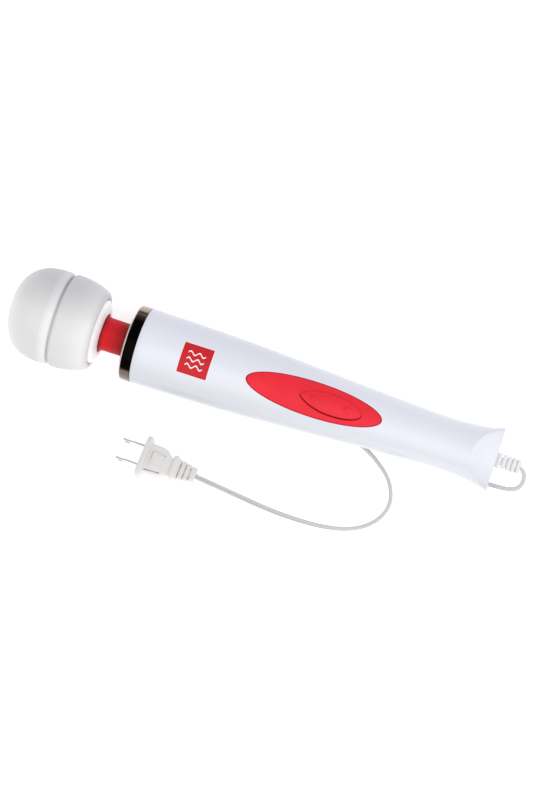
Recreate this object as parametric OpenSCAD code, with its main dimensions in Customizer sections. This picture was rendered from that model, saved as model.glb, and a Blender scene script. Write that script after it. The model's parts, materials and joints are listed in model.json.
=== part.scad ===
// Handheld wand massager: a long two-shell handle with a motor, a flexible neck,
// a round vibrating head, a rocker switch and a short two-blade mains lead.
// Most pieces are drawn along the wand's own axis (x = 0 at the back of the collar
// ring, +x towards the tail, +z on the switch side) and then laid down by lay().

/* [Handle] */
// Length of the housing behind the collar ring
handle_len = 230.5; // [228:0.5:234]
// Radius of the housing at its front
handle_r = 24; // [23.8:0.1:24.3]
// Radius of the waist in front of the tail
waist_r = 16.3; // [16.2:0.05:16.8]
// Radius of the flared tail
tail_r = 20.6; // [20.2:0.1:21]
// Wall thickness of the two shells
wall = 2.4; // [2:0.1:2.6]

/* [Head] */
// Radius of the cushion at its widest band
head_r = 30; // [29.6:0.1:30.6]
// Distance from the collar ring's back to the tip of the head
head_reach = 85.8; // [85:0.1:86.6]
// Depth of the groove around the cushion
groove_d = 1.5; // [1:0.1:2]

/* [Controls] */
// Length of the oval panel
panel_len = 85.8; // [82:0.1:90]
// Width of the oval panel
panel_w = 20.8; // [20:0.1:22]
// Length of the rocker
rocker_len = 39.5; // [36:0.5:42]
// Width of the rocker
rocker_w = 12; // [11:0.1:12.4]
// Side of the square badge
badge_w = 19; // [16:0.5:20]

/* [Lead] */
// Diameter of the power cord
cord_d = 3.3; // [3:0.1:3.6]

/* [Hidden] */
$fn = 96;
slack = 0.05;

// The wand lies on its head and over its own cord, with its tail lower than its front.
tilt = 2.15;
lay_x = -72.4;
lay_z = 28.14;

// Stations of the housing outline, each [x, radius].
handle_st = [[0, handle_r], [40, handle_r - 0.5], [70, handle_r - 1.4], [110, 20.5],
    [145, 18.4], [192, waist_r], [210, 16.7], [222, tail_r - 2.4], [handle_len, tail_r]];
handle_steps = 48;
cavity_end = 205;

collar_len = 7.7;
collar_r = 24.2;
spigot_r = 21.4;
spigot_len = 6;

dome_depth = 27.3;
panel_x = 114;
badge_x = 37.9;
rocker_x = 124.8;
rocker_slope = 3.4;
rocker_gap = 0.7;
pin_drop = 5.5;
pin_r = 1;
skin = 0.9;

// Sockets for the two pairs of housing screws, each [x, y].
screw_at = [[77, 12], [77, -12], [170, 8.5], [170, -8.5]];
screw_boss_r = 3.2;
screw_seat_z = -6;

sleeve_r = 10.3;

// Circuit board over the middle of the handle, and the clamp on the lead.
board_z = 1.2;
board_t = 1.6;
board_x0 = 82;
board_x1 = 150;
board_w = 27;
board_screw_x = [109, 146];
clamp_x = 188;
clamp_y = 6.5;

// Core of the head, its bearings and its spindle.
dome_power = 2.5;
core_r = 25;
core_front = -78;
core_split = -52;
core_back = -29;
core_screw_r = 19.6;
bearing_r = 8;
spindle_r = 3;

// Motor.
can_r = 18;
can_x0 = 12;
can_x1 = 64;
shaft_r = 1.6;
bush_r = 4.05;

// Screws of the neck's flange, on a circle of this radius.
flange_screw_r = 14;

// Cord route, each [x, y, z] of the lead's middle, from the strain relief to the plug.
route = [[170.8, 0.1, 17.5], [174.2, -0.7, 16.7], [176.6, -3.3, 15.6], [177.4, -6.9, 14.3],
    [176.6, -10.4, 12.9], [174.2, -13, 11.4], [170.4, -14.4, 9.8], [165.6, -15, 7.9],
    [160, -15.2, 5.9], [153.4, -15.3, 4], [145.4, -15.2, 2.6], [136.2, -14.6, 1.9],
    [125.6, -12.8, 1.85], [114.2, -7.8, 1.85], [103.6, -0.8, 1.85], [93.4, 5.6, 1.85],
    [83.2, 10, 1.85], [72, 11.8, 1.85], [61, 10.6, 1.85], [52.4, 5.6, 1.85], [49, -1.4, 1.85],
    [51.6, -7.6, 1.85], [58.4, -11.6, 1.85], [67, -14.2, 1.85], [76, -17, 1.85],
    [83, -20.5, 1.85], [89.3, -24.7, 1.85], [94.6, -28.9, 1.85], [98.8, -34, 1.85],
    [101.5, -39.8, 1.85], [102.6, -45.8, 1.85], [101.4, -52.1, 1.85], [97.7, -58.5, 1.85],
    [91.7, -64.1, 1.85], [83.9, -68.2, 1.85], [74.9, -70.8, 1.85], [62.3, -72.6, 1.85],
    [45.9, -73.1, 1.85], [29.8, -72.4, 1.9], [15.6, -71, 2.8], [3.6, -69.6, 5],
    [-8, -68.3, 7.7], [-19.9, -67, 9.8]];
plug_at = [-54, -65.8, 9.8];
plug_turn = -1.8;
plug_roll = -14;
plug_nose = 3.8;
plug_tail = 34.3;

// ---------- functions ----------

// Smooth radius at x through a list of stations.
function seg(st, x, i = 0) = i >= len(st) - 2 || x < st[i + 1][0] ? i : seg(st, x, i + 1);
function slope_at(st, i) = let (a = max(i - 1, 0), b = min(i + 1, len(st) - 1))
    (st[b][1] - st[a][1]) / (st[b][0] - st[a][0]);
function smooth(st, x) = let (
        i = seg(st, x),
        h = st[i + 1][0] - st[i][0],
        t = (x - st[i][0]) / h)
    (2 * t ^ 3 - 3 * t ^ 2 + 1) * st[i][1] + (t ^ 3 - 2 * t ^ 2 + t) * h * slope_at(st, i)
    + (3 * t ^ 2 - 2 * t ^ 3) * st[i + 1][1] + (t ^ 3 - t ^ 2) * h * slope_at(st, i + 1);
function handle_radius(x) = smooth(handle_st, x);

// Outline points [radius, x] of the housing from x0 to x1, moved in by inset.
function handle_pts(x0, x1, inset = 0) = [for (i = [0:handle_steps])
    let (x = x0 + (x1 - x0) * i / handle_steps) [handle_radius(x) - inset, x]];

// Points [radius, x] of a quarter round about (cx, cr) from angle a0 to a1.
function arc_pts(cr, cx, r, a0, a1, n = 8) = [for (i = [0:n])
    let (a = a0 + (a1 - a0) * i / n) [cr + r * cos(a), cx + r * sin(a)]];

// Front dome of the cushion as a superellipse of radius r and depth d.
function dome_pts(r, d, x_tip, n = 14) = [for (i = [0:n]) let (a = 90 * i / n)
    [r * pow(sin(a), 2 / dome_power), x_tip + d * (1 - pow(cos(a), 2 / dome_power))]];

// Ellipse outline of length len_x and width len_y.
function oval_pts(len_x, len_y, n = 48) = [for (i = [0:n - 1])
    [len_x / 2 * cos(360 * i / n), len_y / 2 * sin(360 * i / n)]];

// Catmull-Rom curve through pts with n steps a span.
function cr(a, b, c, d, t) = 0.5 * (2 * b + (c - a) * t + (2 * a - 5 * b + 4 * c - d) * t ^ 2
    + (3 * b - a - 3 * c + d) * t ^ 3);
function curve(pts, n) = concat([for (i = [0:len(pts) - 2], k = [0:n - 1])
    cr(pts[max(i - 1, 0)], pts[i], pts[i + 1], pts[min(i + 2, len(pts) - 1)], k / n)],
    [pts[len(pts) - 1]]);

function unit(v) = v / norm(v);
function tangent(p, i) = unit(p[min(i + 1, len(p) - 1)] - p[max(i - 1, 0)]);
function ring(p, t, r, sides, level) = let (
        side = unit(cross(t, level)),
        up = cross(side, t))
    [for (k = [0:sides - 1]) p + r * (cos(360 * k / sides) * side + sin(360 * k / sides) * up)];
function helix(x0, x1, r, turns, n) = [for (i = [0:n])
    [x0 + (x1 - x0) * i / n, r * cos(360 * turns * i / n), r * sin(360 * turns * i / n)]];

// ---------- shared shapes ----------

// Puts a piece drawn along the wand's axis into its lying place.
module lay() translate([lay_x, 0, lay_z]) rotate([0, tilt, 0]) children();

// Turns an outline of [radius, x] points about the wand's axis.
module turned(pts) rotate([0, 90, 0]) rotate_extrude() polygon(pts);

// Solid round bar along x.
module bar(x0, x1, r) translate([x0, 0, 0]) rotate([0, 90, 0]) cylinder(r = r, h = x1 - x0);

// Tube along x.
module tube(x0, x1, r_out, r_in) difference() {
    bar(x0, x1, r_out);
    bar(x0 - 1, x1 + 1, r_in);
}

// Round tube swept along a list of points.
module sweep(path, r, sides, up = [0, 0, 1]) {
    n = len(path);
    pts = [for (i = [0:n - 1]) each ring(path[i], tangent(path, i), r, sides, up)];
    walls = [for (i = [0:n - 2], k = [0:sides - 1]) let (m = (k + 1) % sides)
        [i * sides + k, i * sides + m, (i + 1) * sides + m, (i + 1) * sides + k]];
    ends = [[for (k = [sides - 1:-1:0]) k], [for (k = [0:sides - 1]) (n - 1) * sides + k]];
    polyhedron(points = pts, faces = concat(walls, ends), convexity = 10);
}

// Skin of the housing: the layer between two depths below its outside.
module handle_layer(x0, x1, deep, shallow) turned(concat(handle_pts(x0, x1, shallow),
    [for (i = [handle_steps:-1:0]) handle_pts(x0, x1, deep)[i]]));

// Upright oval prism on the switch side.
module oval_prism(x, length, width) translate([x, 0, 6])
    linear_extrude(30) polygon(oval_pts(length, width));

// Frame of the rocker: origin on the housing's surface, z outwards.
module at_rocker() translate([rocker_x, 0, handle_radius(rocker_x)])
    rotate([0, rocker_slope, 0]) children();

// Opening for the rocker through the panel and the shell.
module rocker_opening() at_rocker() translate([0, 0, -12]) linear_extrude(20)
    polygon(oval_pts(rocker_len + 2 * rocker_gap, rocker_w + 2 * rocker_gap));

// Pan head screw pointing along +z, with its head on z = 0.
module screw(head_r, head_h, shank_r, length) {
    cylinder(r = head_r, h = head_h);
    translate([0, 0, head_h]) cylinder(r = shank_r, h = length - head_h);
}

// ---------- housing ----------

// Two hollow scoops that flatten the flared tail above and below.
module tail_cuts() {
    scoop_r = 45;
    scoop_x = handle_len + 17.3;
    scoop_z = 48.5;
    for (up = [0, 1]) mirror([0, 0, up])
        translate([scoop_x, 0, scoop_z]) rotate([90, 0, 0])
            cylinder(r = scoop_r, h = 60, center = true, $fn = 200);
}

module housing_solid() difference() {
    turned(concat([[0, -spigot_len], [spigot_r, -spigot_len], [spigot_r, 0]],
        handle_pts(0, handle_len), [[0, handle_len]]));
    tail_cuts();
}

module housing_cavity() {
    turned(concat([[0, -spigot_len - 1], [spigot_r - 2, -spigot_len - 1], [spigot_r - 2, 0]],
        handle_pts(2, cavity_end, wall), [[0, cavity_end]]));
    translate([cavity_end - 1, -4.4, -3.3]) cube([40, 8.8, 6.6]);
}

module shell_half(up) intersection() {
    difference() {
        housing_solid();
        housing_cavity();
    }
    translate([-20, -40, up ? 0.02 : -60.02]) cube([300, 80, 60]);
}

// Room for posts inside the shells, reaching a little into their walls.
module post_room() turned(concat([[0, 2]], handle_pts(2, cavity_end, wall - 0.4),
    [[0, cavity_end]]));

module screw_bosses(z0, z1, r) intersection() {
    post_room();
    for (p = screw_at) translate([p[0], p[1], z0]) cylinder(r = r, h = z1 - z0);
}

module top_shell() color([0.93, 0.93, 0.96]) lay() difference() {
    union() {
        shell_half(true);
        screw_bosses(0.05, 30, screw_boss_r);
    }
    for (p = screw_at) translate([p[0], p[1], -1]) cylinder(r = 1.5, h = 11);
    intersection() {
        handle_layer(40, 180, skin, -2);
        oval_prism(panel_x, panel_len + 0.6, panel_w + 0.6);
    }
    intersection() {
        handle_layer(15, 60, skin, -2);
        translate([badge_x - badge_w / 2 - 0.1, -badge_w / 2 - 0.1, 0])
            cube([badge_w + 0.2, badge_w + 0.2, 40]);
    }
    rocker_opening();
}

module bottom_shell() color([0.93, 0.93, 0.96]) lay() difference() {
    union() {
        shell_half(false);
        screw_bosses(-30, -0.05, screw_boss_r + 1);
        intersection() {
            post_room();
            for (x = board_screw_x) translate([x, 0, -30]) cylinder(r = 3, h = 30 + board_z);
        }
        intersection() {
            post_room();
            for (s = [1, -1]) translate([clamp_x, s * clamp_y, -30])
                cylinder(r = 2.6, h = 30 - 2.2);
        }
    }
    for (p = screw_at) translate([p[0], p[1], 0]) {
        translate([0, 0, -40]) cylinder(r = 3.1, h = 40 + screw_seat_z);
        translate([0, 0, -10]) cylinder(r = 1.7, h = 20);
    }
    for (x = board_screw_x) translate([x, 0, board_z - 8]) cylinder(r = 1.05, h = 20);
    for (s = [1, -1]) translate([clamp_x, s * clamp_y, -9]) cylinder(r = 1.05, h = 20);
}

module body_screws() color([0.6, 0.6, 0.62]) lay()
    for (p = screw_at) translate([p[0], p[1], screw_seat_z - 1.8]) screw(2.9, 1.75, 1.45, 14);

module collar_ring() color([0.08, 0.07, 0.07]) lay() turned(concat(
    [[spigot_r + slack, -slack], [spigot_r + slack, -collar_len + 0.6], [spigot_r + 0.6, -collar_len]],
    arc_pts(collar_r - 2.6, -collar_len + 2.6, 2.6, -90, 0),
    [[collar_r, -0.6], [collar_r - 0.5, -slack]]));

module control_panel() color([0.93, 0.22, 0.28]) lay() difference() {
    intersection() {
        handle_layer(40, 180, skin - slack, -0.3);
        oval_prism(panel_x, panel_len, panel_w);
    }
    rocker_opening();
}

module badge() color([0.8, 0.1, 0.15]) lay() intersection() {
    handle_layer(15, 60, skin - slack, -0.2);
    translate([badge_x - badge_w / 2, -badge_w / 2, 0]) cube([badge_w, badge_w, 40]);
}

// ---------- switch ----------

module rocker() color([0.9, 0.15, 0.22]) lay() at_rocker() difference() {
    union() {
        intersection() {
            translate([0, 0, -2]) linear_extrude(8) polygon(oval_pts(rocker_len, rocker_w));
            translate([0, 0, -17.6]) rotate([0, 90, 0]) cylinder(r = 19.9, h = 60, center = true);
        }
        for (s = [1, -1]) intersection() {
            translate([s * rocker_len * 0.29, 0, -2.4]) sphere(r = 5.2);
            translate([s * rocker_len * 0.29, 0, 0]) cylinder(r = 3, h = 5);
        }
        translate([-3, -4, -pin_drop - 2.4]) cube([6, 8, pin_drop + 2.4]);
    }
    translate([0, 0, -pin_drop]) rotate([90, 0, 0])
        cylinder(r = pin_r + slack, h = 20, center = true);
}

module rocker_pin() color([0.7, 0.7, 0.72]) lay() at_rocker() translate([0, 0, -pin_drop])
    rotate([90, 0, 0]) cylinder(r = pin_r, h = 11.6, center = true);

module switch_body() color([0.12, 0.12, 0.13]) lay() difference() {
    union() {
        at_rocker() for (s = [1, -1]) translate([-3.5, s * 5.05 - 0.75, -11])
            cube([7, 1.5, 11 - pin_drop + 1.5]);
        translate([rocker_x - 11, -6.5, board_z + board_t + slack]) cube([22, 13, 7.4]);
    }
    at_rocker() translate([0, 0, -pin_drop]) rotate([90, 0, 0])
        cylinder(r = pin_r, h = 20, center = true);
}

// ---------- board ----------

module control_board() color([0.1, 0.35, 0.2]) lay() difference() {
    translate([board_x0, -board_w / 2, board_z + 0.03]) cube([board_x1 - board_x0, board_w, board_t]);
    for (x = board_screw_x) translate([x, 0, 0]) cylinder(r = 1.2, h = 8);
    for (p = screw_at) translate([p[0], p[1], -2]) cylinder(r = screw_boss_r + 0.5, h = 8);
}

module board_screws() color([0.6, 0.6, 0.62]) lay()
    for (x = board_screw_x) translate([x, 0, board_z + board_t + 1.5]) mirror([0, 0, 1])
        screw(2, 1.4, 1, 8);

module board_capacitor() color([0.1, 0.12, 0.3]) lay()
    translate([0, -5.5, board_z + board_t + 5.6]) bar(84.5, 101, 5.5);

module board_rectifier() color([0.1, 0.1, 0.1]) lay()
    translate([86, 4, board_z + board_t + 0.1]) cube([15, 5, 11]);

// ---------- leads ----------

module mains_cable() color([0.85, 0.85, 0.85]) lay() bar(172, cavity_end - 3.1, cord_d / 2);

module mains_leads() color([0.85, 0.85, 0.87]) lay() for (s = [1, -1])
    sweep([[171.9, s * 0.9, 0], [168, s * 1, 0.4], [162, s * 2, 3], [154, s * 4, 4],
        [143, s * 6, 3.75]], 0.8, 6);

module motor_leads() color([0.75, 0.1, 0.1]) lay() for (s = [1, -1])
    sweep([[69.4, s * 8, 9], [73, s * 7.6, 9], [77, s * 6, 8], [81, s * 4, 5.4],
        [84, s * 1.8, 3.75]], 0.8, 6);

module cord_clamp() color([0.85, 0.85, 0.87]) lay() difference() {
    translate([clamp_x - 3, -9.2, -2.1]) cube([6, 18.4, 5]);
    bar(clamp_x - 9, clamp_x + 9, cord_d / 2 + 0.02);
    for (s = [1, -1]) translate([clamp_x, s * clamp_y, -9]) cylinder(r = 1.2, h = 20);
}

module clamp_screws() color([0.6, 0.6, 0.62]) lay() for (s = [1, -1])
    translate([clamp_x, s * clamp_y, 4.4]) mirror([0, 0, 1]) screw(2, 1.4, 1, 12);

module strain_relief() color([0.94, 0.94, 0.95]) lay() {
    relief_ribs = 5;
    rib_pitch = 2.75;
    rib_t = 2;
    rib_w = 9.4;
    droop = 2.5;
    translate([cavity_end - 3, -7, -5]) cube([2.9, 14, 10]);
    translate([cavity_end - 0.2, -4.1, -3]) cube([handle_len - cavity_end + 0.4, 8.2, 6]);
    for (i = [0:relief_ribs - 1]) translate([handle_len, 0, 0]) rotate([0, i * droop, 0])
        translate([i * rib_pitch, 0, 0]) {
            translate([-0.2, -2.8, -2.2]) cube([rib_pitch + 0.3, 5.6, 4.4]);
            translate([0.75, -rib_w / 2 + 0.1 * i, -3]) cube([rib_t, rib_w - 0.2 * i, 6]);
        }
}

module power_cord() color([0.93, 0.93, 0.92]) sweep(curve(route, 2), cord_d / 2, 8);

// ---------- plug ----------

// Frame of the plug: origin at its flange, +x towards the cord, lying a little rolled.
module at_plug() translate(plug_at) rotate([plug_roll, 0, plug_turn]) children();

module plug_body() color([0.94, 0.93, 0.92]) at_plug() {
    grip_len = 20;
    rib_pitch = 2.9;
    difference() {
        linear_extrude(13.4, center = true) polygon([[0, 13.2], [plug_nose, 13.2],
            [plug_nose + 1, 10.6], [11, 10], [17.5, 7.6], [grip_len, 7], [grip_len, -7],
            [17.5, -7.6], [11, -10], [plug_nose + 1, -10.6], [plug_nose, -13.2], [0, -13.2]]);
        for (up = [0, 1]) mirror([0, 0, up])
            translate([plug_nose + 2, -14, 5.2]) rotate([0, 9, 0]) cube([30, 28, 10]);
    }
    translate([grip_len - 0.2, -7.7, -4.5]) cube([2.6, 15.4, 9]);
    for (i = [0:3]) translate([grip_len + 2.2 + i * rib_pitch, 0, 0]) {
        translate([0.9, -6 + 0.55 * i, -3.6 + 0.3 * i]) cube([2, 12 - 1.1 * i, 7.2 - 0.6 * i]);
        translate([0, -2.6, -2.2]) cube([rib_pitch, 5.2, 4.4]);
    }
    translate([plug_tail - 0.6, -2.4, -2.2]) cube([0.6, 4.8, 4.4]);
}

module plug_blades() color([0.75, 0.72, 0.66]) at_plug() {
    blade_len = 15.9;
    for (s = [1, -1]) translate([0, s * 6.35, 0]) difference() {
        translate([-blade_len, -0.75, -3.15]) cube([blade_len - 0.05, 1.5, 6.3]);
        translate([-blade_len + 3.8, 0, 0]) rotate([90, 0, 0])
            cylinder(r = 1.6, h = 4, center = true);
    }
}

// ---------- neck ----------

module neck_flange() color([0.85, 0.85, 0.87]) lay() difference() {
    union() {
        bar(-5.9, -2.4, spigot_r - 2 - 0.1);
        bar(-8.6, -5.8, 5.2);
    }
    bar(-20, 20, 3);
    for (a = [45:90:315]) rotate([a, 0, 0]) translate([0, 0, flange_screw_r]) bar(-9, 0, 1.2);
}

module flange_screws() color([0.6, 0.6, 0.62]) lay()
    for (a = [45:90:315]) rotate([a, 0, 0]) translate([0, 0, flange_screw_r]) {
        bar(-7.3, -5.95, 2.2);
        bar(-6, 5, 1.1);
    }

module neck_sleeve() color([0.82, 0.12, 0.17]) lay() turned([[8.6, -26.2], [11.6, -26.2],
    [10.9, -24.4], [sleeve_r, -22.6], [sleeve_r, -9], [sleeve_r + 0.7, -7.4],
    [sleeve_r + 0.7, -6], [8.6, -6]]);

module neck_spring() color([0.6, 0.6, 0.62]) lay()
    sweep(helix(-23.5, -9.9, 6.6, 4.25, 68), 1.2, 6, [1, 0, 0]);

module flex_shaft() color([0.25, 0.25, 0.26]) lay() bar(-31.9, -0.1, 2);

// ---------- head ----------

module head_cushion() color([0.9, 0.9, 0.89]) lay() turned(concat(
    dome_pts(head_r, dome_depth, -head_reach),
    [[head_r, -54.9]],
    arc_pts(head_r - 1.4, -54.9, 1.4, 0, 50, 4),
    arc_pts(head_r - groove_d + 0.6, -52.6, 0.7, -110, -250, 4),
    arc_pts(head_r - 2.6, -49, 2.6, -55, 20, 6),
    [[head_r - 0.8, -45], [head_r - 1.4, -38.5], [head_r - 2.1, -34.4]],
    arc_pts(head_r - 8.5, -34.2, 6.3, 10, 80, 8),
    [[19.7, -28.4], [19.7, -29.6], [core_r + slack, -29.6], [core_r + slack, core_front + 2.9],
     [core_r - 2.9, core_front - slack], [0, core_front - slack]]));

module head_core_front() color([0.8, 0.8, 0.82]) lay()
    turned([[0, core_front], [core_r - 3, core_front], [core_r, core_front + 3],
        [core_r, core_split], [core_r - 2.5, core_split], [core_r - 2.5, core_front + 3.4],
        [core_r - 4, core_front + 2.5], [bearing_r + 2, core_front + 2.5],
        [bearing_r + 2, core_front + 8], [bearing_r + slack, core_front + 8],
        [bearing_r + slack, core_front + 2.8], [0, core_front + 2.8]]);

module head_core_rear() color([0.8, 0.8, 0.82]) lay() difference() {
    union() {
        turned([[core_r - 2.5, core_split + slack], [core_r, core_split + slack],
            [core_r, core_back - 0.65], [19.6, core_back - 0.65], [19.6, core_back + 0.8],
            [12, core_back + 0.8], [12, -27.4], [8, -27.4], [8, -24.8], [5.4, -24.8],
            [5.4, -31.9], [bearing_r + slack, -31.9], [bearing_r + slack, -37],
            [bearing_r + 2, -37], [bearing_r + 2, -31], [core_r - 2.5, -31]]);
        for (a = [60:120:300]) rotate([a, 0, 0]) translate([0, 0, core_screw_r])
            bar(core_split + 6, -30.5, 3);
    }
    for (a = [60:120:300]) rotate([a, 0, 0]) translate([0, 0, core_screw_r]) bar(-60, -25, 1.3);
}

module head_screws() color([0.6, 0.6, 0.62]) lay()
    for (a = [60:120:300]) rotate([a, 0, 0]) translate([0, 0, core_screw_r]) {
        bar(core_split + 4.4, core_split + 5.95, 2.2);
        bar(core_split + 5.8, -31, 1.25);
    }

module head_ring() color([0.95, 0.95, 0.97]) lay() turned(concat(
    [[12.7, -27.3], [12.7, -25.6]],
    arc_pts(14, -25.9, 1.3, 170, 80, 4),
    [[17, -24.9]],
    arc_pts(17.6, -26.6, 1.9, 80, 0, 4),
    [[19.5, -27.3]]));

module head_bearings() color([0.7, 0.7, 0.72]) lay() {
    tube(core_front + 2.85, core_front + 7.85, bearing_r, spindle_r + 0.04);
    tube(-37, -32, bearing_r, spindle_r + 0.04);
}

module eccentric_shaft() color([0.7, 0.7, 0.72]) lay() bar(core_front + 3.1, -31.95, spindle_r);

module eccentric_weight() color([0.55, 0.55, 0.57]) lay() difference() {
    union() {
        intersection() {
            bar(-66, -43, 16);
            translate([-80, -20, -20]) cube([60, 40, 20]);
        }
        bar(-66, -43, 6);
    }
    bar(-80, -20, spindle_r);
}

// ---------- motor ----------

module motor_can() color([0.7, 0.7, 0.72]) lay() turned([[bush_r + slack, can_x0],
    [can_r, can_x0], [can_r, can_x1], [can_r - 1.5, can_x1], [can_r - 1.5, can_x0 + 1.5],
    [bush_r + slack, can_x0 + 1.5]]);

module motor_end_cap() color([0.15, 0.15, 0.16]) lay() turned([[bush_r + slack, can_x1 + 2.5],
    [bush_r + slack, can_x1 + 5], [can_r, can_x1 + 5], [can_r, can_x1 + 0.05],
    [can_r - 1.6, can_x1 + 0.05], [can_r - 1.6, can_x1 + 2.5]]);

module motor_magnets() color([0.3, 0.3, 0.32]) lay() difference() {
    tube(can_x0 + 6, can_x0 + 44, can_r - 1.55, can_r - 4.6);
    for (s = [1, -1]) translate([0, s * 20 - 10, -6]) cube([80, 20, 12]);
}

module motor_bushes() color([0.7, 0.55, 0.3]) lay() {
    tube(can_x0 - 2.5, can_x0 + 2.5, bush_r, shaft_r + 0.04);
    tube(can_x1 + 1.5, can_x1 + 6, bush_r, shaft_r + 0.04);
}

module motor_shaft() color([0.75, 0.75, 0.77]) lay() bar(3.1, can_x1 + 8, shaft_r);

module motor_armature() color([0.6, 0.35, 0.2]) lay() difference() {
    bar(can_x0 + 9, can_x0 + 41, 12.6);
    bar(0, 90, shaft_r);
    for (a = [0:72:288]) rotate([a, 0, 0]) translate([can_x0 + 8, -1, 8.5]) cube([34, 2, 6]);
}

module commutator() color([0.75, 0.45, 0.25]) lay()
    tube(can_x0 + 42, can_x0 + 49, 5, shaft_r);

module motor_brushes() color([0.2, 0.2, 0.2]) lay() for (s = [1, -1])
    translate([can_x0 + 43.5, s * 8 - 2.6, -1.6]) cube([4, 5.2, 3.2]);

module motor_mounts() color([0.15, 0.15, 0.15]) lay() {
    tube(15, 20, 21.3, can_r + slack);
    tube(56, 61, handle_radius(61) - wall - 0.1, can_r + slack);
}

module shaft_coupling() color([0.15, 0.15, 0.16]) lay() difference() {
    bar(-1.9, 8, 4.5);
    bar(-3, 0, 2.02);
    bar(3, 9, shaft_r);
}

// ---------- drawing ----------

top_shell();
bottom_shell();
body_screws();
collar_ring();
neck_flange();
flange_screws();
neck_sleeve();
neck_spring();
flex_shaft();
head_cushion();
head_core_front();
head_core_rear();
head_ring();
head_screws();
head_bearings();
eccentric_shaft();
eccentric_weight();
motor_can();
motor_end_cap();
motor_magnets();
motor_armature();
motor_shaft();
commutator();
motor_bushes();
motor_brushes();
motor_mounts();
shaft_coupling();
control_board();
board_screws();
board_capacitor();
board_rectifier();
switch_body();
rocker_pin();
rocker();
control_panel();
badge();
mains_cable();
mains_leads();
motor_leads();
cord_clamp();
clamp_screws();
strain_relief();
power_cord();
plug_body();
plug_blades();
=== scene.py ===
import json
import math

import bmesh
import bpy
from mathutils import Matrix, Vector


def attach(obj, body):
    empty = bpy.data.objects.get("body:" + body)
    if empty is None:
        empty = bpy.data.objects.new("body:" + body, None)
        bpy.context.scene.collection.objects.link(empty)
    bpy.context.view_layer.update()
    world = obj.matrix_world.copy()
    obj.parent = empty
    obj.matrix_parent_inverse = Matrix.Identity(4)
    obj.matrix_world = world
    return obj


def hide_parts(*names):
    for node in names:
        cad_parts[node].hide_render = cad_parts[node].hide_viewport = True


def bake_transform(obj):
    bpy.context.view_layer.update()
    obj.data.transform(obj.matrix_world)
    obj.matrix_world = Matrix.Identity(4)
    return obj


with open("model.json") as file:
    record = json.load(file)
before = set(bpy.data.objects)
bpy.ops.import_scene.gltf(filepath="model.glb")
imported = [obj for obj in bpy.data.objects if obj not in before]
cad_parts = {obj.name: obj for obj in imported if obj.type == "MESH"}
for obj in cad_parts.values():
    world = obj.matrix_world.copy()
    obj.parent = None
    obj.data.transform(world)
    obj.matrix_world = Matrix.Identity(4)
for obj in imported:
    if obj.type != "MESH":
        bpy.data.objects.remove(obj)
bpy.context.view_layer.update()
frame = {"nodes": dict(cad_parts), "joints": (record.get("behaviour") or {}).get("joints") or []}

MM = 0.001

# ---------- where the wand lies ----------
# Most pieces are drawn in millimetres along the wand's own axis: x = 0 at the back of the
# collar ring, +x towards the tail, +z out of the switch side. The record's joints say where
# that axis lies in the row frame.

JOINTS = {j["name"]: j for j in frame["joints"]}
PITCH_X = -12.5
ALONG = Vector(JOINTS["rotor_spin"]["axis"]).normalized()
ACROSS = Vector((0, 1, 0))
UPWARD = ALONG.cross(ACROSS)
START = Vector(JOINTS["neck_pitch"]["pos_m"]) - ALONG * PITCH_X * MM
LAY = Matrix.Translation(START) @ Matrix((ALONG, ACROSS, UPWARD)).transposed().to_4x4() @ Matrix.Scale(MM, 4)

# ---------- sizes, in millimetres: the main outsides are the CAD part's ----------

HANDLE_LEN = 230.5
HANDLE = [(0, 24.0), (40, 23.5), (70, 22.6), (110, 20.5), (145, 18.4), (192, 16.3),
          (210, 16.7), (222, 18.2), (HANDLE_LEN, 20.6)]
WALL = 2.2  # thinner than in the CAD part, so that nothing fixed inside the shells touches them
SCOOP_R, SCOOP_X, SCOOP_Z, SCOOP_EDGE, NO_SCOOP = 45, HANDLE_LEN + 17.3, 48.5, 0.45, 99
SEAM_GAP, SEAM_DEPTH, SEAM_TURN = 0.04, 0.22, 0.9
TAIL_ROUND = 1.1
TAIL_HOLE = 5.2
COLLAR_LEN, COLLAR_R, SPIGOT_R = 7.7, 24.2, 21.45
SLEEVE_FRONT, SLEEVE_REAR, SLEEVE_BORE, SLEEVE_SPLIT = -26.2, -6, 8.6, -16.6
SPRING_FRONT, SPRING_REAR, SPRING_R, SPRING_TURNS, WIRE_R = -23.5, -9.9, 6.6, 4.25, 1.2
CABLE_FRONT, CABLE_REAR, CABLE_R, CABLE_WIND, CABLE_STRAND = -31.9, -0.1, 1.92, 0.9, 0.07
HEAD_R, HEAD_REACH, DOME_DEPTH, DOME_POWER = 30, 85.8, 27.3, 2.5
PANEL_X, PANEL_A, PANEL_B = 114, 42.9, 10.3
ROCKER_X, ROCKER_A, ROCKER_B, ROCKER_SLOPE = 124.8, 19.7, 6.0, 3.4
ROCKER_HIGH, BUMP_X, BUMP_R, BUMP_HIGH = 2.2, 10.9, 2.2, 0.9
# The gap round the rocker, at its ends and sides; GROOVE_SHIFT moves the opening towards -y, so that the
# trough's painted shade shows as a crescent on that side.
GAP_ENDS, GAP_SIDES, GROOVE_SHIFT = 0.16, 0.46, 0.4
BADGE_X, BADGE_HALF = 37.9, 9.5
WAVE_AT, WAVE_WIDE, WAVE_HALF, WAVE_SWING, WAVE_PERIOD = (-4, 0, 4), 0.95, 5.6, 1.0, 5.6
PLUG_AT, PLUG_ROLL, PLUG_TURN = (-54, -65.8, 9.8), -14, -1.8
PLUG_STEM = (2.4, 2.1, 1.0)
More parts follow.
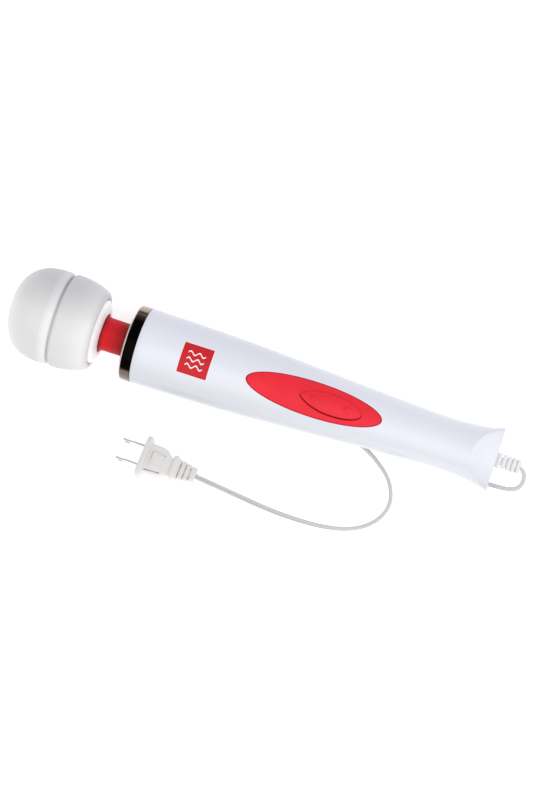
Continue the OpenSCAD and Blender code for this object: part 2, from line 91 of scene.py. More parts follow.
# Grey strips on the plug, each (start, end, width): painted shade lines, two along an L on its flat and one
# along its top edge on the -y side.
PLUG_SHADE_LINES = [((6.9, 4.6, 5.15), (15.0, 3.9, 5.0), 0.8), ((6.7, 4.6, 5.15), (6.9, -3.0, 5.12), 0.5),
              ((5.0, -8.3, 5.0), (15.0, -7.4, 4.8), 0.7)]
PAD_X, PAD_Y, PAD_HALF_X, PAD_HALF_Y, PAD_CORNER = 10.9, -0.6, 4.2, 5.2, 1.0
BLADE_LEN, BLADE_HALF, BLADE_THICK, BLADE_APART = 15.9, 3.15, 1.5, 12.7
BLADE_TIP, HOLE_X, HOLE_R = 1.3, -12.1, 1.6
RELIEF_PITCH, RELIEF_DROOP, RELIEF_RIBS, RIB_LEN, RIB_START = 3.05, 2.5, 5, 2.2, 0.75
RELIEF_STEM = (2.3, 1.9, 0.9)
CORD_WIDE, CORD_THICK, CORD_R, CORD_SINK, CORD_DIP = 3.3, 2.35, 1.65, 0.12, 0.7

# The route of the cord's middle, in the row frame, the same as in the CAD part.
ROUTE = [
    (170.8, 0.1, 17.5), (174.2, -0.7, 16.7), (176.6, -3.3, 15.6), (177.4, -6.9, 14.3),
    (176.6, -10.4, 12.9), (174.2, -13, 11.4), (170.4, -14.4, 9.8), (165.6, -15, 7.9),
    (160, -15.2, 5.9), (153.4, -15.3, 4), (145.4, -15.2, 2.6), (136.2, -14.6, 1.9),
    (125.6, -12.8, 1.85), (114.2, -7.8, 1.85), (103.6, -0.8, 1.85), (93.4, 5.6, 1.85),
    (83.2, 10, 1.85), (72, 11.8, 1.85), (61, 10.6, 1.85), (52.4, 5.6, 1.85), (49, -1.4, 1.85),
    (51.6, -7.6, 1.85), (58.4, -11.6, 1.85), (67, -14.2, 1.85), (76, -17, 1.85),
    (83, -20.5, 1.85), (89.3, -24.7, 1.85), (94.6, -28.9, 1.85), (98.8, -34, 1.85),
    (101.5, -39.8, 1.85), (102.6, -45.8, 1.85), (101.4, -52.1, 1.85), (97.7, -58.5, 1.85),
    (91.7, -64.1, 1.85), (83.9, -68.2, 1.85), (74.9, -70.8, 1.85), (62.3, -72.6, 1.85),
    (45.9, -73.1, 1.85), (29.8, -72.4, 1.9), (15.6, -71, 2.8), (3.6, -69.6, 5),
    (-8, -68.3, 7.7), (-19.9, -67, 9.8)]

# ---------- camera: the photograph's viewing angle ----------

AIM = Vector((0.0117, -0.0082, 0.0200))
CAMERA_BACK = Vector((0.13969, -0.03752, 0.98948)).normalized()
CAMERA_UP = Vector((-0.30343, 0.94959, 0.07884))
CAMERA_AWAY = 1.4887
CAMERA_LENS = 107.9


def make_camera():
    """The camera, set from its own back, up and side directions."""
    data = bpy.data.cameras.new("camera")
    data.lens = CAMERA_LENS
    data.sensor_width = 36
    data.clip_start, data.clip_end = 0.05, 20
    camera = bpy.data.objects.new("camera", data)
    bpy.context.scene.collection.objects.link(camera)
    side = CAMERA_UP.cross(CAMERA_BACK).normalized()
    axes = Matrix((side, CAMERA_BACK.cross(side), CAMERA_BACK)).transposed().to_4x4()
    camera.matrix_world = Matrix.Translation(AIM + CAMERA_BACK * CAMERA_AWAY) @ axes
    bpy.context.scene.camera = camera


make_camera()

# ---------- materials ----------


def linear(r, g, b):
    """A 0 to 255 screen colour as a linear one."""
    return [(c / 255 / 12.92 if c <= 10 else ((c / 255 + 0.055) / 1.055) ** 2.4)
            for c in (r, g, b)] + [1]


def noise(tree, scale, detail=3, stretch=(1, 1, 1), seed=0.0):
    """A noise texture in object space, stretched along the axes if asked."""
    coords = tree.nodes.new("ShaderNodeTexCoord")
    mapping = tree.nodes.new("ShaderNodeMapping")
    mapping.inputs["Scale"].default_value = stretch
    mapping.inputs["Location"].default_value = (seed, seed * 0.7, seed * 1.3)
    texture = tree.nodes.new("ShaderNodeTexNoise")
    texture.inputs["Scale"].default_value = scale
    texture.inputs["Detail"].default_value = detail
    tree.links.new(coords.outputs["Object"], mapping.inputs["Vector"])
    tree.links.new(mapping.outputs["Vector"], texture.inputs["Vector"])
    return texture.outputs["Fac"]


def ramp(tree, factor, stops):
    """A colour ramp through (position, colour) stops."""
    node = tree.nodes.new("ShaderNodeValToRGB")
    elements = node.color_ramp.elements
    while len(elements) < len(stops):
        elements.new(0.5)
    for element, (position, colour) in zip(elements, stops):
        element.position = position
        element.color = colour
    tree.links.new(factor, node.inputs["Fac"])
    return node.outputs["Color"]


def spread(tree, factor, low, high):
    """factor's middle range mapped to low ... high."""
    node = tree.nodes.new("ShaderNodeMapRange")
    node.inputs["From Min"].default_value = 0.3
    node.inputs["From Max"].default_value = 0.7
    node.inputs["To Min"].default_value = low
    node.inputs["To Max"].default_value = high
    tree.links.new(factor, node.inputs["Value"])
    return node.outputs["Result"]


def along(tree, direction, start, end):
    """0 to 1 between two distances in mm from the collar's back, along one of the wand's axes."""
    coords = tree.nodes.new("ShaderNodeTexCoord")
    reach = tree.nodes.new("ShaderNodeVectorMath")
    reach.operation = "DOT_PRODUCT"
    reach.inputs[1].default_value = direction
    tree.links.new(coords.outputs["Object"], reach.inputs[0])
    node = tree.nodes.new("ShaderNodeMapRange")
    node.inputs["From Min"].default_value = START.dot(direction) + start * MM
    node.inputs["From Max"].default_value = START.dot(direction) + end * MM
    tree.links.new(reach.outputs["Value"], node.inputs["Value"])
    return node.outputs["Result"]


def facing(tree, direction):
    """0 to 1 with how much a surface faces a direction."""
    geometry = tree.nodes.new("ShaderNodeNewGeometry")
    node = tree.nodes.new("ShaderNodeVectorMath")
    node.operation = "DOT_PRODUCT"
    node.inputs[1].default_value = direction
    tree.links.new(geometry.outputs["Normal"], node.inputs[0])
    return node.outputs["Value"]


def tinted(material, factor, stops):
    """Multiply a finish's colour by a ramp over a factor."""
    tree = material.node_tree
    shader = tree.nodes["Principled BSDF"]
    mix = tree.nodes.new("ShaderNodeMixRGB")
    mix.blend_type = "MULTIPLY"
    mix.inputs["Fac"].default_value = 1
    socket = shader.inputs["Base Color"]
    tree.links.new(socket.links[0].from_socket, mix.inputs["Color1"])
    tree.links.new(ramp(tree, factor, stops), mix.inputs["Color2"])
    tree.links.new(mix.outputs["Color"], socket)


def shade(colour, amount):
    """A colour made darker or paler."""
    return [min(1, max(0, c * amount)) for c in colour[:3]] + [1]


def moulded(name, colour, rough, grain=2200, depth=0.00002, mottle=0.03, patch=30, coat=0.0,
            coat_rough=0.1, metallic=0.0, soft=0.0, specular=0.5, stretch=(1, 1, 1), seed=1.0):
    """A finish with fine grain in its relief, slightly uneven gloss and slightly uneven colour."""
    material = bpy.data.materials.new(name)
    material.use_nodes = True
    tree = material.node_tree
    shader = tree.nodes["Principled BSDF"]
    tint = ramp(tree, noise(tree, patch, 4, stretch, seed),
                [(0.3, shade(colour, 1 - mottle)), (0.7, shade(colour, 1 + mottle))])
    tree.links.new(tint, shader.inputs["Base Color"])
    fine = noise(tree, grain, 2, stretch, seed + 3)
    cloudy = noise(tree, patch * 2.5, 3, stretch, seed + 7)
    tree.links.new(spread(tree, cloudy, rough * 0.85, rough * 1.15), shader.inputs["Roughness"])
    bump = tree.nodes.new("ShaderNodeBump")
    bump.inputs["Strength"].default_value = 0.6
    bump.inputs["Distance"].default_value = depth
    tree.links.new(fine, bump.inputs["Height"])
    tree.links.new(bump.outputs["Normal"], shader.inputs["Normal"])
    shader.inputs["Metallic"].default_value = metallic
    shader.inputs["Specular IOR Level"].default_value = specular
    shader.inputs["Coat Weight"].default_value = coat
    shader.inputs["Coat Roughness"].default_value = coat_rough
    shader.inputs["Subsurface Weight"].default_value = soft
    shader.inputs["Subsurface Radius"].default_value = (0.002, 0.002, 0.002)
    return material


WHITE_BODY = moulded("white_body", linear(232, 234, 243), 0.3, 2600, 0.000004, 0.012, 14, coat=0.25,
                     coat_rough=0.18)
WHITE_RING = moulded("white_ring", linear(252, 250, 252), 0.22, 2600, 0.000004, 0.012, 30, coat=0.35)
SOFT_VINYL = moulded("soft_vinyl", linear(238, 238, 238), 0.42, 1500, 0.00003, 0.02, 26, soft=0.15, seed=4)
# Chrome of the band; its black top and brown sides, tinted in below, are painted reflection.
BAND_CHROME_PAINTED_REFLECTION = moulded("dark_chrome", linear(170, 150, 136), 0.09, 900, 0.000002, 0.02, 60, metallic=1.0)
# Pale metal for a painted highlight along the band's front edge.
BEVEL_PAINTED_HIGHLIGHT = moulded("pale_metal_painted_highlight", linear(222, 208, 204), 0.2, 900, 0.000002, 0.02, 60, metallic=1.0)
RED_SILICONE = moulded("red_silicone", linear(216, 22, 34), 0.55, 1900, 0.00002, 0.06, 50, specular=0.2)
RED_PANEL = moulded("red_panel", linear(232, 34, 52), 0.45, 2300, 0.000012, 0.03, 40, specular=0.25)
RED_ROCKER = moulded("red_rocker", linear(230, 28, 48), 0.38, 2300, 0.000012, 0.04, 60, specular=0.3, seed=6)
# Dark red for painted shade in the gap round the rocker.
RED_GROOVE_PAINTED_SHADE = moulded("dark_red_painted_gap_shade", linear(128, 10, 26), 0.7, 2300, 0.000012, 0.05, 60, specular=0.1)
# Dark red for painted shade along the panel's edge.
RED_EDGE_PAINTED_SHADE = moulded("dark_red_painted_edge_shade", linear(172, 24, 42), 0.6, 2300, 0.000012, 0.05, 60, specular=0.15)
RED_BADGE = moulded("red_badge", linear(200, 24, 34), 0.4, 3000, 0.000006, 0.03, 90, specular=0.25)
BADGE_INK = moulded("badge_ink", linear(246, 240, 240), 0.4, 3000, 0.000006, 0.02, 90)
RELIEF_VINYL = moulded("relief_vinyl", linear(224, 224, 226), 0.38, 1700, 0.00002, 0.02, 60, soft=0.1)
# Grey for the plug's painted shade lines.
SHADE_LINE_GREY = moulded("grey_painted_shade_line", linear(132, 132, 132), 0.5, 1700, 0.00002, 0.04, 60)
CORD_VINYL = moulded("cord_vinyl", linear(198, 198, 197), 0.38, 1700, 0.00002, 0.03, 60, soft=0.1)
PLUG_VINYL = moulded("plug_vinyl", linear(222, 220, 218), 0.34, 1800, 0.000015, 0.02, 60, soft=0.1)
BLADE_METAL = moulded("blade_metal", linear(236, 234, 232), 0.25, 500, 0.000006, 0.08, 120, metallic=1.0,
                      stretch=(1, 8, 8))
CORE_PLASTIC = moulded("core_plastic", linear(206, 206, 210), 0.45, 1500, 0.00002, 0.03, 60)
STEEL = moulded("bright_steel", linear(178, 178, 182), 0.24, 700, 0.000005, 0.08, 150, metallic=1.0,
                stretch=(1, 6, 6))
SPRING_STEEL = moulded("spring_steel", linear(150, 150, 156), 0.32, 900, 0.00001, 0.1, 200, metallic=1.0)
WEIGHT_IRON = moulded("weight_iron", linear(120, 120, 124), 0.55, 600, 0.00004, 0.12, 200, metallic=0.9)
FERRITE = moulded("ferrite", linear(74, 74, 78), 0.7, 1200, 0.00004, 0.12, 250)
COPPER = moulded("copper_winding", linear(186, 104, 62), 0.3, 900, 0.00008, 0.1, 300, metallic=1.0,
                 stretch=(0.3, 5, 5))
BRONZE = moulded("sintered_bronze", linear(170, 136, 82), 0.5, 2400, 0.00005, 0.12, 300, metallic=0.9)
BLACK_PLASTIC = moulded("black_plastic", linear(32, 32, 34), 0.4, 1500, 0.00002, 0.15, 80)
BLACK_RUBBER = moulded("black_rubber", linear(34, 34, 34), 0.7, 1100, 0.00004, 0.15, 80)
BOARD_GREEN = moulded("board_green", linear(28, 92, 54), 0.35, 900, 0.00002, 0.15, 160, coat=0.3)
RED_LEAD = moulded("red_lead", linear(180, 30, 34), 0.4, 1500, 0.00002, 0.06, 80)

# Painted light that follows the object: a painted reflection makes the band black over its top
# and brown at its sides; painted shade darkens the sleeve at both ends and the head and the handle
# towards their sides; a painted highlight on the head's shoulders and painted shade in its groove make the
# shoulders paler than the groove.


def tints(*stops):
    """Ramp stops from (position, value), where a value is a grey level or an (r, g, b)."""
    return [(position, (*value, 1) if isinstance(value, tuple) else (value, value, value, 1))
            for position, value in stops]


# Painted reflection: the band is black over its top and brown at its sides.
tinted(BAND_CHROME_PAINTED_REFLECTION, along(BAND_CHROME_PAINTED_REFLECTION.node_tree, ACROSS, -25, 25), tints(
    (0, 0.46), (0.115, 0.36), (0.14, 0.008), (0.76, 0.008), (0.86, 0.17), (0.88, 0.02), (0.905, 0.75),
    (1, 1)))
# Painted shade: the sleeve darkens at both ends, where it meets the head's ring and the collar.
tinted(RED_SILICONE, along(RED_SILICONE.node_tree, ALONG, -26, -7.5), tints(
    (0, 0.22), (0.04, 0.35), (0.1, 0.8), (0.2, 1), (0.45, 0.9), (0.75, 0.55), (1, 0.16)))
# Painted shade: the head darkens towards its sides, more on the +y side.
tinted(SOFT_VINYL, along(SOFT_VINYL.node_tree, ACROSS, -30, 30), tints(
    (0, 0.78), (0.12, 0.9), (0.3, 0.97), (0.5, 0.97), (0.72, (0.84, 0.84, 0.86)), (1, (0.68, 0.68, 0.71))))
# Painted highlight and shade along the head: paler on the shoulder before the groove, darker over the band
# ahead of it, in the groove and where it meets the ring.
tinted(SOFT_VINYL, along(SOFT_VINYL.node_tree, ALONG, -86, -26), tints(
    (0, 0.98), (0.25, 0.88), (0.43, 0.85), (0.47, 0.95), (0.53, 1), (0.545, 0.8), (0.565, 0.8),
    (0.58, 0.84), (0.75, 0.87), (0.9, 0.95), (0.96, 0.88), (1, 0.7)))
# Painted shade: the handle darkens towards its sides, more on the -y side, and a little towards the tail.
tinted(WHITE_BODY, along(WHITE_BODY.node_tree, ACROSS, -24, 24), tints(
    (0, (0.68, 0.69, 0.68)), (0.2, (0.88, 0.89, 0.875)), (0.42, 1), (0.55, 1), (0.78, (0.95, 0.95, 0.97)),
    (1, (0.8, 0.81, 0.86))))
tinted(WHITE_BODY, along(WHITE_BODY.node_tree, ALONG, 0, 230), tints(
    (0, 0.95), (0.3, 0.93), (0.6, 0.93), (0.85, 0.925)))

CAD_FINISHES = {
    "body_screws": STEEL, "flange_screws": STEEL, "head_screws": STEEL, "board_screws": STEEL,
    "clamp_screws": STEEL, "head_bearings": STEEL, "eccentric_shaft": STEEL, "motor_shaft": STEEL,
    "motor_can": STEEL, "rocker_pin": STEEL, "neck_flange": CORE_PLASTIC,
    "head_core_front": CORE_PLASTIC, "head_core_rear": CORE_PLASTIC, "cord_clamp": CORE_PLASTIC,
    "motor_mounts": BLACK_RUBBER, "eccentric_weight": WEIGHT_IRON, "motor_magnets": FERRITE,
    "motor_armature": COPPER, "commutator": COPPER, "motor_bushes": BRONZE, "motor_brushes": BLACK_PLASTIC,
    "motor_end_cap": BLACK_PLASTIC, "shaft_coupling": BLACK_PLASTIC, "board_capacitor": BLACK_PLASTIC,
    "board_rectifier": BLACK_PLASTIC, "switch_body": BLACK_PLASTIC, "control_board": BOARD_GREEN,
    "mains_cable": CORD_VINYL, "mains_leads": CORD_VINYL, "motor_leads": RED_LEAD}

for node, finish in CAD_FINISHES.items():
    data = frame["nodes"][node].data
    data.materials.clear()
    data.materials.append(finish)

# ---------- mesh helpers ----------


def piece(name, points, faces, material, slot, body=None, replaces=(), place=LAY, sharp=38):
    """A mesh object from millimetre points placed by a matrix, smooth except at sharp edges."""
    mesh = bpy.data.meshes.new(name)
    mesh.from_pydata([place @ Vector(p) for p in points], [], faces)
    work = bmesh.new()
    work.from_mesh(mesh)
    bmesh.ops.remove_doubles(work, verts=work.verts, dist=1e-7)
    bmesh.ops.recalc_face_normals(work, faces=work.faces)
    work.to_mesh(mesh)
    work.free()
    mesh.shade_smooth()
    mesh.set_sharp_from_angle(angle=math.radians(sharp))
    mesh.materials.append(material)
    obj = bpy.data.objects.new(name, mesh)
    bpy.context.scene.collection.objects.link(obj)
    if replaces:
        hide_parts(*replaces)
    if body:
        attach(obj, body)
    return obj


def skin(rows, around=True, along=False):
    """Points and quads over rows of equal length. around joins the ends of each row, and along
    joins the last row to the first; open ends of closed rows are capped."""
    n, m = len(rows), len(rows[0])
    points = [p for row in rows for p in row]
    faces = []
    for i in range(n if along else n - 1):
        k = (i + 1) % n
        for j in range(m if around else m - 1):
            h = (j + 1) % m
            faces.append((i * m + j, i * m + h, k * m + h, k * m + j))
    if around and not along:
        faces.append(tuple(range(m)))
        faces.append(tuple((n - 1) * m + j for j in range(m)))
    return points, faces


def plate(outer, inner):
    """Points and quads of a closed sheet with thickness: two grids of the same size, joined at
    their four edges."""
    n, m = len(outer), len(outer[0])
    points = [p for row in outer for p in row] + [p for row in inner for p in row]
    back = n * m
    faces = []
    for i in range(n - 1):
        for j in range(m - 1):
            a, b, c, d = i * m + j, i * m + j + 1, (i + 1) * m + j + 1, (i + 1) * m + j
            faces.append((a, b, c, d))
            faces.append((back + d, back + c, back + b, back + a))
    for i in range(n - 1):
        for j in (0, m - 1):
            a, d = i * m + j, (i + 1) * m + j
            faces.append((a, d, back + d, back + a))
    for j in range(m - 1):
        for i in (0, n - 1):
            a, b = i * m + j, i * m + j + 1
            faces.append((a, b, back + b, back + a))
    return points, faces


def circle(x, r, steps):
    """A ring of points across the wand's axis."""
    return [(x, r * math.sin(2 * math.pi * k / steps), r * math.cos(2 * math.pi * k / steps))
            for k in range(steps)]


def turned(profile, steps=128):
    """A closed profile of (x, r) turned about the wand's axis."""
    rows = [circle(x, r, steps) for x, r in profile]
    return skin(rows, along=True)


def rounded(corners, steps=5):
    """A closed profile with each (x, r, radius) corner rounded."""
    out = []
    count = len(corners)
    for k, (x, y, radius) in enumerate(corners):
        here = Vector((x, y))
        before = Vector(corners[k - 1][:2]) - here
        after = Vector(corners[(k + 1) % count][:2]) - here
        if radius <= 0:
            out.append((x, y))
            continue
        half = before.angle(after) / 2
        reach = min(radius / math.tan(half), before.length * 0.48, after.length * 0.48)
        radius = reach * math.tan(half)
        middle = here + (before.normalized() + after.normalized()).normalized() * (radius / math.sin(half))
        first = here + before.normalized() * reach - middle
        last = here + after.normalized() * reach - middle
        turn = first.angle_signed(last)
        for s in range(steps + 1):
            arm = first.copy()
            arm.rotate(Matrix.Rotation(-turn * s / steps, 2))
            out.append(tuple(middle + arm))
    return out


def arc(cx, cy, r, start, end, steps):
    """Points of an arc between two angles in degrees."""
    return [(cx + r * math.cos(math.radians(start + (end - start) * k / steps)),
             cy + r * math.sin(math.radians(start + (end - start) * k / steps))) for k in range(steps + 1)]


def rounded_box(half_x, half_y, corner, steps):
    """A rectangle with rounded corners about its middle."""
    points = []
    for cx, cy, start in ((1, 1, 0), (-1, 1, 90), (-1, -1, 180), (1, -1, 270)):
        points += arc(cx * (half_x - corner), cy * (half_y - corner), corner, start, start + 90, steps)
    return points


def smooth_min(a, b, width):
    """The smaller of two values, blended where they are within width of each other."""
    h = min(1, max(0, 0.5 + 0.5 * (b - a) / width))
    return b + (a - b) * h - width * h * (1 - h)


def blend_steps(start, end, count):
    """Evenly spaced values from start to end."""
    return [start + (end - start) * k / count for k in range(count + 1)]


# ---------- handle ----------


def slope_at(k):
    """The slope of the handle's outline at one of its stations."""
    a, b = max(k - 1, 0), min(k + 1, len(HANDLE) - 1)
    return (HANDLE[b][1] - HANDLE[a][1]) / (HANDLE[b][0] - HANDLE[a][0])


def handle_radius(x):
    """The handle's radius: a smooth curve through its stations."""
    k = 0
    while k < len(HANDLE) - 2 and x >= HANDLE[k + 1][0]:
        k += 1
    span = HANDLE[k + 1][0] - HANDLE[k][0]
    t = (x - HANDLE[k][0]) / span
    return ((2 * t**3 - 3 * t**2 + 1) * HANDLE[k][1] + (t**3 - 2 * t**2 + t) * span * slope_at(k)
            + (3 * t**2 - 2 * t**3) * HANDLE[k + 1][1] + (t**3 - t**2) * span * slope_at(k + 1))


def on_handle(x, y, lift=0.0):
    """The point on the handle's top surface at x and y, lifted along the surface's own direction."""
    r = handle_radius(x)
    angle = math.asin(max(-1, min(1, y / r)))
    return (x, (r + lift) * math.sin(angle), (r + lift) * math.cos(angle))


def scoop_height(x):
    """Height of the round scoop that flattens the tail, or far above the handle ahead of it."""
    if x <= SCOOP_X - SCOOP_R:
        return NO_SCOOP
    return SCOOP_Z - math.sqrt(max(SCOOP_R**2 - (x - SCOOP_X)**2, 0))


def shell_rows(inset_by, hole):
    """Rows of a shell's surface from the collar to the cord's hole in the tail, set in by a
    depth."""
    end = HANDLE_LEN
    stations = [(x, inset_by) for x in blend_steps(0, 205, 90)]
    stations[0] = (0.05, inset_by + 0.25)
    stations[1] = (0.4, inset_by)
    stations += [(x, inset_by) for x in blend_steps(205, end - TAIL_ROUND, 64)[1:]]
    for a in blend_steps(0, 90, 6)[1:]:
        stations.append((end - TAIL_ROUND + TAIL_ROUND * math.sin(math.radians(a)),
                         inset_by + TAIL_ROUND * (1 - math.cos(math.radians(a)))))
    near, far = SEAM_TURN, 2 * SEAM_TURN
    turns = [90, 90 - near] + blend_steps(90 - far, -90 + far, 108) + [-90 + near, -90]
    rows = []
    for x, inset in stations:
        row = []
        for k, turn in enumerate(turns):
            seam = SEAM_DEPTH if k in (0, len(turns) - 1) and inset_by == 0 else 0
            r = handle_radius(min(x, end)) - inset - seam
            a = math.radians(turn)
            z = smooth_min(r * math.cos(a), scoop_height(x) - inset, SCOOP_EDGE)
            row.append((min(x, end - inset_by), r * math.sin(a), max(z, 0) + SEAM_GAP))
        rows.append(row)
    edge = rows[-1]
    for t in (0.25, 0.6, 1):
        row = []
        for (x, y, z), turn in zip(edge, turns):
            a = math.radians(turn)
            row.append((x, y + (hole * math.sin(a) - y) * t, z + (hole * math.cos(a) + SEAM_GAP - z) * t))
        rows.append(row)
    return rows


outer_rows = shell_rows(0, TAIL_HOLE)
inner_rows = shell_rows(WALL, TAIL_HOLE)
top_points, shell_faces = plate(outer_rows, inner_rows)
piece("housing_top", top_points, shell_faces, WHITE_BODY, "housing_white", "housing", ["top_shell"])
piece("housing_bottom", [(x, y, -z) for x, y, z in top_points], shell_faces, WHITE_BODY, "housing_white",
      "housing", ["bottom_shell"])

collar_profile = rounded([
    (-0.08, SPIGOT_R, 0), (-COLLAR_LEN + 0.5, SPIGOT_R, 0.3), (-COLLAR_LEN, SPIGOT_R + 0.6, 0.3),
    (-COLLAR_LEN, COLLAR_R - 1.7, 0.9), (-COLLAR_LEN + 1.5, COLLAR_R - 0.15, 1.0),
    (-0.55, COLLAR_R, 0.3), (-0.08, COLLAR_R - 0.5, 0.2)])
piece("collar_band", *turned(collar_profile, 180), BAND_CHROME_PAINTED_REFLECTION, "dark_chrome", "housing", ["collar_ring"])
# A pale metal ring along the band's front edge: a painted highlight for the bright line on its chamfer.
bevel_profile = rounded([
    (-COLLAR_LEN + 0.3, COLLAR_R - 2.1, 0), (-COLLAR_LEN - 0.06, COLLAR_R - 2.0, 0.2),
    (-COLLAR_LEN - 0.02, COLLAR_R - 1.2, 0.3), (-COLLAR_LEN + 0.95, COLLAR_R - 0.3, 0.2),
    (-COLLAR_LEN + 1.1, COLLAR_R - 0.7, 0)])
piece("collar_bevel_painted_highlight", *turned(bevel_profile, 180), BEVEL_PAINTED_HIGHLIGHT, "dark_chrome", "housing")

# ---------- neck ----------
# The sleeve, the spring and the drive cable are each in two halves, which meet between the
# neck's two joints.


def sleeve_radius(x):
    """Outside of the sleeve: it flares into the head and into the collar."""
    stops = [(SLEEVE_FRONT, 12.2), (-25.6, 12.2), (-25.1, 11.1), (-23.8, 10.75), (-22, 10.6),
             (-13, 10.5), (-9.6, 10.55), (-8.2, 10.7), (-7.2, 10.95), (SLEEVE_REAR, 10.95)]
    for (x0, r0), (x1, r1) in zip(stops, stops[1:]):
        if x <= x1:
            t = (x - x0) / (x1 - x0)
            return r0 + (r1 - r0) * t * t * (3 - 2 * t)
    return stops[-1][1]


def sleeve_part(start, end):
    """A stretch of the sleeve, as a tube."""
    xs = blend_steps(start, end, 26)
    outside = [circle(x, sleeve_radius(x), 96) for x in xs]
    bore = [circle(x, SLEEVE_BORE, 96) for x in reversed(xs)]
    return skin(outside + bore, along=True)


def spring_part(start, end):
    """A stretch of the coil spring inside the sleeve, as rings of its wire."""
    rows = []
    for x in blend_steps(start, end, 90):
        turn = 2 * math.pi * SPRING_TURNS * (x - SPRING_FRONT) / (SPRING_REAR - SPRING_FRONT)
        row = []
        for across, out in arc(0, SPRING_R, WIRE_R, 0, 330, 11):
            row.append((x + across, out * math.cos(turn), out * math.sin(turn)))
        rows.append(row)
    return skin(rows)


def drive_cable_part(start, end):
    """A stretch of the wound cable that drives the weight, through the middle of the spring."""
    rows = []
    for x in blend_steps(start, end, 120):
        rows.append(circle(x, CABLE_R + CABLE_STRAND * math.cos(2 * math.pi * x / CABLE_WIND), 24))
    return skin(rows)


def across_the_neck(name, part, front, rear, material, slot, node):
    """A piece in two halves, which meet at SLEEVE_SPLIT."""
    rear_half = piece(f"{name}_rear", *part(SLEEVE_SPLIT, rear), material, slot, replaces=[node])
    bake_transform(rear_half)
    front_half = piece(f"{name}_front", *part(front, SLEEVE_SPLIT), material, slot, replaces=[node])
    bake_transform(front_half)


across_the_neck("neck_sleeve", sleeve_part, SLEEVE_FRONT, SLEEVE_REAR, RED_SILICONE, "silicone_red",
                "neck_sleeve")
across_the_neck("neck_coil", spring_part, SPRING_FRONT, SPRING_REAR, SPRING_STEEL, "spring_steel",
                "neck_spring")
across_the_neck("drive_cable", drive_cable_part, CABLE_FRONT, CABLE_REAR, BLACK_RUBBER, "black_rubber",
                "flex_shaft")

# ---------- head ----------


def cushion_profile():
    """The cushion: domed tip, wide band, groove, bead and a rear that curves in to the ring."""
    dome = []
    for k in range(41):
        a = math.radians(90 * k / 40)
        dome.append((-HEAD_REACH + DOME_DEPTH * (1 - math.cos(a) ** (2 / DOME_POWER)),
                     HEAD_R * math.sin(a) ** (2 / DOME_POWER)))
    dome[0] = (-HEAD_REACH, 0.02)
    outer = dome + [(-57.6, 30.0)]
    outer += arc(-56.9, 26.2, 3.8, 88, 22, 9)
    outer += arc(-52.75, 27.75, 0.55, -170, -35, 5)
    outer += arc(-50.6, 28.3, 1.65, 170, 84, 7)
    outer += [(-48.6, 29.92), (-46.6, 29.8), (-44, 29.55), (-41.5, 29.15), (-39, 28.65), (-36.6, 28.05),
              (-34.4, 27.35), (-32.6, 26.65), (-31.1, 25.9), (-29.9, 25.1), (-29.0, 24.15), (-28.45, 23.1),
              (-28.3, 22.2), (-28.45, 21.5), (-28.9, 21.15)]
    inside = [(-29.6, 21.15), (-29.6, 25.06), (-75, 25.06), (-77.9, 22.1), (-77.9, 0.02)]
    return outer + inside


cushion = piece("head_pad", *turned(cushion_profile(), 160), SOFT_VINYL, "cushion_vinyl", "head",
                ["head_cushion"], sharp=60)

ring_profile = rounded([
    (-28.15, 12.3, 0), (-26.0, 12.3, 0.4), (-25.2, 13.1, 0.5), (-25.4, 15.2, 1.2), (-26.3, 18.2, 1.6),
    (-27.7, 20.3, 0.8), (-29.4, 20.9, 0.2), (-29.4, 19.8, 0), (-28.15, 19.8, 0)])
piece("head_collar", *turned(ring_profile, 144), WHITE_RING, "ring_white", "head", ["head_ring"])

# ---------- oval panel, rocker and badge ----------


def leaf(turn, more_x, more_y):
    """The rocker's outline about its middle: an oval with a pointed front end, turned a little."""
    u = (ROCKER_A + more_x) * math.cos(turn)
    narrow = 1 - 0.42 * max(0, -math.cos(turn)) ** 3
    return u, (ROCKER_B + more_y) * math.sin(turn) * narrow - 0.03 * u


def oval_band(steps, levels):
    """Rows over the handle between two ovals: each level is (share from the rocker's opening to
    the panel's edge, mm added all round, lift)."""
    rows = []
    for share, extra, lift in levels:
        row = []
        for k in range(steps):
            turn = 2 * math.pi * k / steps
            ix, iy = leaf(turn, GAP_ENDS + extra, GAP_SIDES + extra)
            ix, iy = ix + ROCKER_X, iy - GROOVE_SHIFT
            ox, oy = PANEL_X + (PANEL_A + extra) * math.cos(turn), (PANEL_B + extra) * math.sin(turn)
            row.append(on_handle(ix + (ox - ix) * share, iy + (oy - iy) * share, lift))
        rows.append(row)
    return rows


panel_levels = [(0, 0, -1.6), (0, 0, 0.1), (0, 0.1, 0.32), (0, 0.35, 0.44), (0, 0.8, 0.46)]
panel_levels += [(s, 0, 0.46 - 0.16 * s) for s in blend_steps(0.2, 0.88, 12)]
panel_levels += [(0.93, 0, 0.3), (0.965, 0, 0.27), (0.985, 0, 0.2), (0.995, 0, 0.1), (1, 0, -0.05),
                 (1, 0, -0.7), (0.5, 0, -1.6)]
piece("control_oval", *skin(oval_band(200, panel_levels), along=True), RED_PANEL, "panel_red", "housing",
      ["control_panel"])
# A thin dark red ring round the panel's edge: painted shade along that edge.
outline_levels = [(1, -0.2, -0.3), (1, -0.2, 0.11), (1, 0.5, 0.12), (1, 0.62, 0.07), (1, 0.62, -0.3)]
piece("control_outline", *skin(oval_band(200, outline_levels), along=True), RED_EDGE_PAINTED_SHADE, "panel_red", "housing")
# The trough round the rocker is a real gap, dark red with painted shade; it is wider on the -y side, where it
# shows as a dark crescent.
trough_levels = [(0, -0.95, -0.4), (0, -0.95, 0.1), (0, 0.12, 0.1), (0, 0.12, -0.4)]
piece("control_trough", *skin(oval_band(200, trough_levels), along=True), RED_GROOVE_PAINTED_SHADE, "panel_red", "housing")

